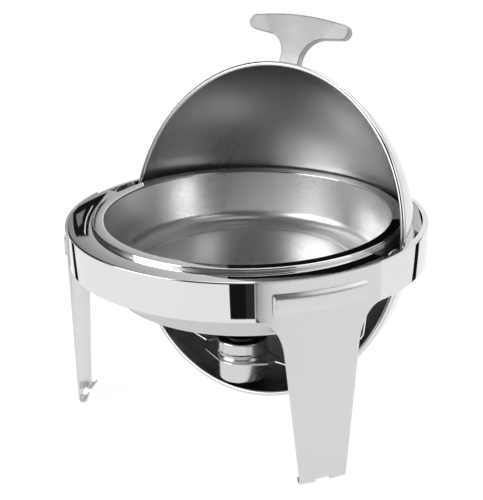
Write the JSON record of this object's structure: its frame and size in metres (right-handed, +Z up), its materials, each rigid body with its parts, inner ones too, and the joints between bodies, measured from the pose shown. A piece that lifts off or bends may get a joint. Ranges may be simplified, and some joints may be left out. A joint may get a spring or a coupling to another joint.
{
  "type": "roll top chafer",
  "caption": "Round roll-top chafer: a stand with a deep ring carries nested water and food pans over a fuel cup; the domed lid rolls back round a side pivot.",
  "frame": {"origin": "on the floor under the centre of the ring, level with the undersides of the feet", "axes": "+Z up; +X along the lid's pivot axis, to the right seen from the front; -Y is the front, where the handle is when the lid is closed"},
  "size_m": [0.452, 0.4566, 0.4945],
  "materials": {
    "polished_steel": "mirror polished stainless steel",
    "satin_steel": "satin stainless steel",
    "leg_steel": "fine satin stainless steel",
    "lid_steel": "polished outside, circular brushed inside",
    "pan_steel": "drawn stainless steel, satin",
    "handle_steel": "satin cast stainless steel",
    "fastener_steel": "bright zinc-plated steel",
    "wire_steel": "bright plated wire",
    "can_steel": "tinned steel, semi-gloss",
    "bush_plastic": "natural white plastic",
    "gasket_rubber": "matt black rubber"
  },
  "bodies": {
    "stand": {"stand_ring": "polished_steel", "pan_hoop": "satin_steel", "leg_front_right": "leg_steel", "leg_front_left": "leg_steel", "leg_back": "leg_steel", "leg_studs": "fastener_steel", "leg_nuts": "fastener_steel", "pivot_bracket_right": "satin_steel", "pivot_bracket_left": "satin_steel", "pivot_screw_right": "fastener_steel", "pivot_screw_left": "fastener_steel", "pivot_spacers": "fastener_steel", "lid_stop_pins": "fastener_steel", "cradle_wire": "wire_steel"},
    "lid": {"lid_dome": "lid_steel", "lid_rim_bead": "polished_steel", "lid_arm_right": "satin_steel", "lid_arm_left": "satin_steel", "lid_arm_rivets": "fastener_steel", "lid_pivot_bushes": "bush_plastic", "lid_handle": "handle_steel", "lid_handle_gasket": "gasket_rubber", "lid_handle_screws": "fastener_steel"},
    "water_pan": {"water_pan": "pan_steel"},
    "food_pan": {"food_pan": "pan_steel"},
    "burner_cup": {"burner_cup": "polished_steel"},
    "fuel_can": {"fuel_can": "can_steel"}
  },
  "joints": [
    {"name": "lid_hinge", "type": "hinge", "parent": "stand", "child": "lid", "pos_m": [0, 0, 0.2415], "axis": [1, 0, 0], "range_deg": [0, 105.5]},
    {"name": "water_pan_lift", "type": "slide", "parent": "stand", "child": "water_pan", "axis": [0, 0, 1], "range_m": [0, 0.01]},
    {"name": "food_pan_lift", "type": "slide", "parent": "water_pan", "child": "food_pan", "axis": [0, 0, 1], "range_m": [0, 0.01]},
    {"name": "burner_cup_lift", "type": "slide", "parent": "stand", "child": "burner_cup", "axis": [0, 0, 1], "range_m": [0, 0.03]},
    {"name": "fuel_can_lift", "type": "slide", "parent": "burner_cup", "child": "fuel_can", "axis": [0, 0, 1], "range_m": [0, 0.03]}
  ]
}
